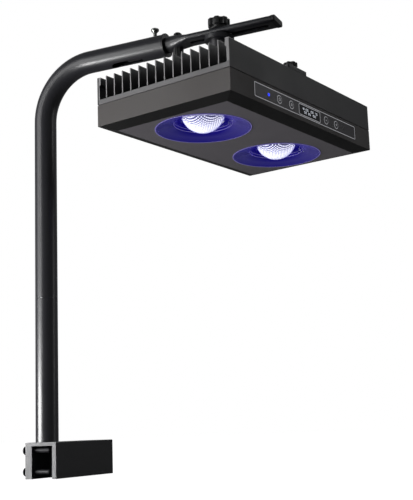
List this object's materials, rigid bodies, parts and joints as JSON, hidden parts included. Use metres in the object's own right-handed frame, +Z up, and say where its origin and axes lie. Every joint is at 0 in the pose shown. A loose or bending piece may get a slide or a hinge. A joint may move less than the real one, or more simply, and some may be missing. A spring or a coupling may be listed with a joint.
{
  "type": "led aquarium light",
  "caption": "LED aquarium light with two lensed reflectors and a finned heat sink, hung under a slotted bar on a bent pole that clamps to the rim of a tank.",
  "frame": {"origin": "on the pole axis, on the underside of the clamp channel, where the rim of the tank seats", "axes": "+Z up along the pole, +X along the arm over the tank, +Y along the clamp, the way the glass runs"},
  "size_m": [0.3722, 0.2952, 0.4877],
  "materials": {
    "clamp_black": "satin black powder coat",
    "pad_rubber": "matte",
    "steel_bright": "machined",
    "thumbscrew_steel": "dark nickel, worn bright on the rim",
    "pole_black": "satin black paint",
    "spigot_metal": "machined",
    "plastic_black": "moulded, fine grain",
    "stop_bolt_black": "black oxide",
    "post_black": "satin black paint",
    "nut_steel": "machined",
    "heat_sink_black": "black anodised, cut ends lighter",
    "housing_black": "fine-textured black powder coat",
    "gasket_rubber": "matte",
    "reflector_blue": "glossy deep blue",
    "lens_glass": "clear, beaded face",
    "holder_plastic": "moulded",
    "led_board_metal": "white solder mask",
    "led_emitter": "emitters",
    "panel_black": "printed film",
    "display_dark": "glossy window",
    "circuit_board": "solder mask",
    "switch_plastic": "moulded",
    "button_black": "moulded",
    "indicator_blue": "clear blue",
    "receiver_dark": "smoked",
    "inlet_black": "moulded"
  },
  "bodies": {
    "clamp": {"clamp_channel": "clamp_black", "glass_pad": "pad_rubber", "pole_foot_plug": "spigot_metal", "pole_foot_screws": "steel_bright", "lower_pole": "pole_black", "pole_spigot": "spigot_metal"},
    "clamp_screw_near_upper": {"clamp_screw_near_upper": "steel_bright"},
    "clamp_screw_near_lower": {"clamp_screw_near_lower": "steel_bright"},
    "clamp_screw_far_upper": {"clamp_screw_far_upper": "steel_bright"},
    "clamp_screw_far_lower": {"clamp_screw_far_lower": "steel_bright"},
    "arm": {"upper_pole": "pole_black", "tube_bushing": "plastic_black"},
    "thumbscrew": {"thumbscrew": "thumbscrew_steel"},
    "bar": {"slide_bar": "pole_black", "bar_end_cap": "plastic_black", "stop_bolt": "stop_bolt_black", "stop_nut": "plastic_black"},
    "carriage": {"slot_washer": "plastic_black"},
    "star_knob": {"star_knob": "plastic_black", "star_knob_stud": "steel_bright"},
    "crossbar_knob_right": {"crossbar_knob_right": "plastic_black", "crossbar_stud_right": "steel_bright"},
    "crossbar_knob_left": {"crossbar_knob_left": "plastic_black", "crossbar_stud_left": "steel_bright"},
    "button_power": {"button_power": "button_black"},
    "button_mode": {"button_mode": "button_black"},
    "button_down": {"button_down": "button_black"},
    "button_up": {"button_up": "button_black"},
    "lamp": {"board_spacers": "switch_plastic", "case_gasket": "gasket_rubber", "case_screws": "steel_bright", "control_board": "circuit_board", "control_panel": "panel_black", "crossbar": "post_black", "display_module": "display_dark", "driver_board": "circuit_board", "driver_spacers": "switch_plastic", "hanger_post": "post_black", "heat_sink": "heat_sink_black", "housing": "housing_black", "indicator_light": "indicator_blue", "inlet_nut": "inlet_black", "key_switches": "switch_plastic", "led_array_1": "led_emitter", "led_array_2": "led_emitter", "led_board_1": "led_board_metal", "led_board_2": "led_board_metal", "lens_1": "lens_glass", "lens_2": "lens_glass", "lens_gasket_1": "gasket_rubber", "lens_gasket_2": "gasket_rubber", "lens_holder_1": "holder_plastic", "lens_holder_2": "holder_plastic", "post_foot_screw": "steel_bright", "power_inlet": "inlet_black", "reflector_cup_1": "reflector_blue", "reflector_cup_2": "reflector_blue", "remote_receiver": "receiver_dark", "slide_nuts": "nut_steel"}
  },
  "joints": [
    {"name": "pole_swivel", "type": "hinge", "parent": "clamp", "child": "arm", "pos_m": [0, 0, 0.16215], "axis": [0, 0, 1], "range_deg": [-90, 90]},
    {"name": "arm_extend", "type": "slide", "parent": "arm", "child": "bar", "axis": [1, 0, 0], "range_m": [-0.005, 0.028]},
    {"name": "lamp_slide", "type": "slide", "parent": "bar", "child": "carriage", "axis": [1, 0, 0], "range_m": [-0.014, 0.049]},
    {"name": "lamp_swivel", "type": "hinge", "parent": "carriage", "child": "lamp", "pos_m": [0.225, 0, 0.4295], "axis": [0, 0, 1], "range_deg": [-90, 90]},
    {"name": "star_knob_turn", "type": "hinge", "parent": "carriage", "child": "star_knob", "pos_m": [0.225, 0, 0.4395], "axis": [0, 0, 1], "continuous": true},
    {"name": "thumbscrew_turn", "type": "hinge", "parent": "arm", "child": "thumbscrew", "pos_m": [0.147, 0, 0.4445], "axis": [0, 0, 1], "continuous": true},
    {"name": "crossbar_knob_right_turn", "type": "hinge", "parent": "lamp", "child": "crossbar_knob_right", "pos_m": [0.31011, -0.01654, 0.3708], "axis": [0, 0, 1], "continuous": true},
    {"name": "crossbar_knob_left_turn", "type": "hinge", "parent": "lamp", "child": "crossbar_knob_left", "pos_m": [0.16443, 0.01177, 0.3708], "axis": [0, 0, 1], "continuous": true},
    {"name": "clamp_screw_near_upper_travel", "type": "slide", "parent": "clamp", "child": "clamp_screw_near_upper", "axis": [1, 0, 0], "range_m": [-0.02, 0.001]},
    {"name": "clamp_screw_near_lower_travel", "type": "slide", "parent": "clamp", "child": "clamp_screw_near_lower", "axis": [1, 0, 0], "range_m": [-0.02, 0.001]},
    {"name": "clamp_screw_far_upper_travel", "type": "slide", "parent": "clamp", "child": "clamp_screw_far_upper", "axis": [1, 0, 0], "range_m": [-0.02, 0.001]},
    {"name": "clamp_screw_far_lower_travel", "type": "slide", "parent": "clamp", "child": "clamp_screw_far_lower", "axis": [1, 0, 0], "range_m": [-0.02, 0.001]},
    {"name": "button_power_press", "type": "slide", "parent": "lamp", "child": "button_power", "axis": [-0.9816, 0.1908, 0], "range_m": [0, 0.0006], "stiffness_N_per_m": 900},
    {"name": "button_mode_press", "type": "slide", "parent": "lamp", "child": "button_mode", "axis": [-0.9816, 0.1908, 0], "range_m": [0, 0.0006], "stiffness_N_per_m": 900},
    {"name": "button_down_press", "type": "slide", "parent": "lamp", "child": "button_down", "axis": [-0.9816, 0.1908, 0], "range_m": [0, 0.0006], "stiffness_N_per_m": 900},
    {"name": "button_up_press", "type": "slide", "parent": "lamp", "child": "button_up", "axis": [-0.9816, 0.1908, 0], "range_m": [0, 0.0006], "stiffness_N_per_m": 900}
  ]
}
